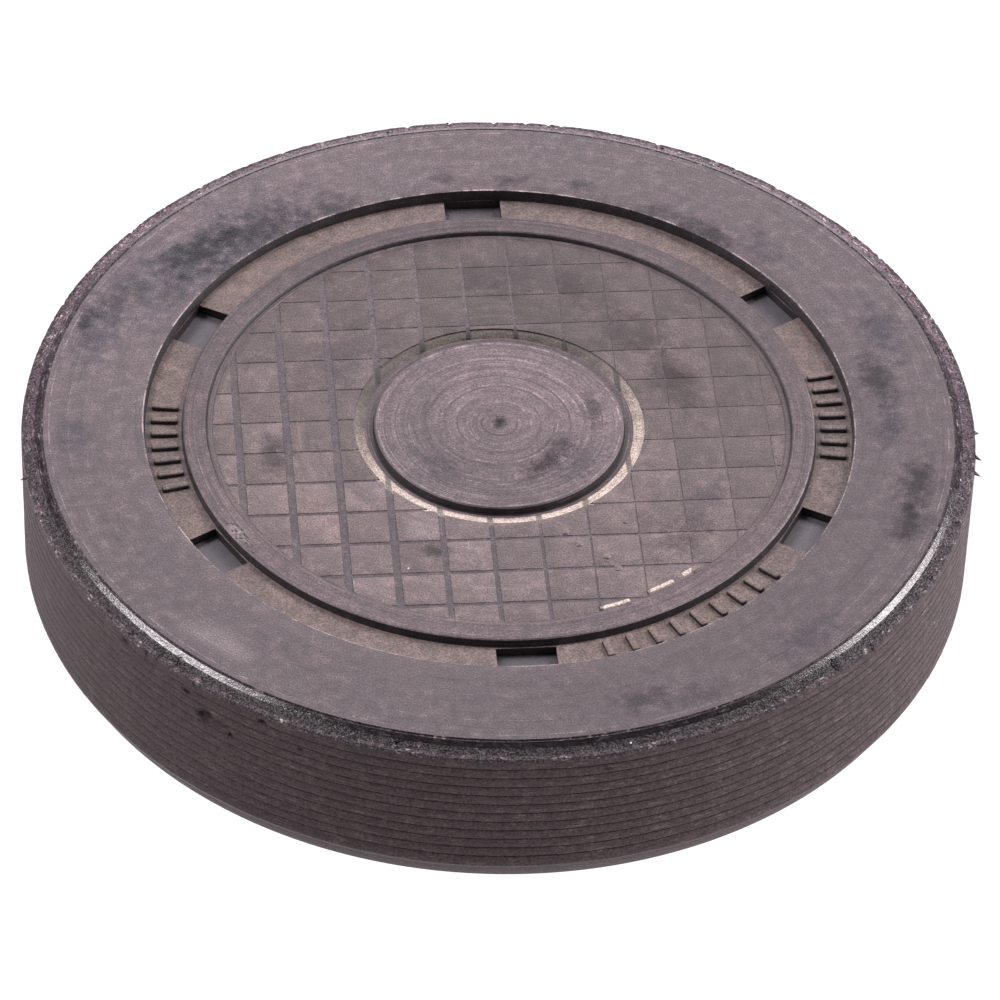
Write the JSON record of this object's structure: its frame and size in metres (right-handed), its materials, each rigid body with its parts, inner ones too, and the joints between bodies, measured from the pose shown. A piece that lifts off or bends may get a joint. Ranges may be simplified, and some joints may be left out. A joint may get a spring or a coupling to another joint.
{
  "type": "bore end cap",
  "caption": "Low round rubber cap over a pressed steel cup, with a finely ribbed rim that presses into a bore, a marking groove with windows down to the steel, and a tiled centre panel.",
  "frame": {"origin": "centre of the bottom rim, on the plane that the open end rests on", "axes": "+Z is the cap's axis, out through the closed face; +X is to the right as seen from the front"},
  "size_m": [0.057, 0.057, 0.0105],
  "materials": {
    "rubber": "matte moulded nitrile rubber with a handled, slightly smeared face",
    "steel": "dull phosphated sheet steel"
  },
  "bodies": {
    "root": {"rubber_cover": "rubber", "steel_insert": "steel"}
  },
  "joints": []
}
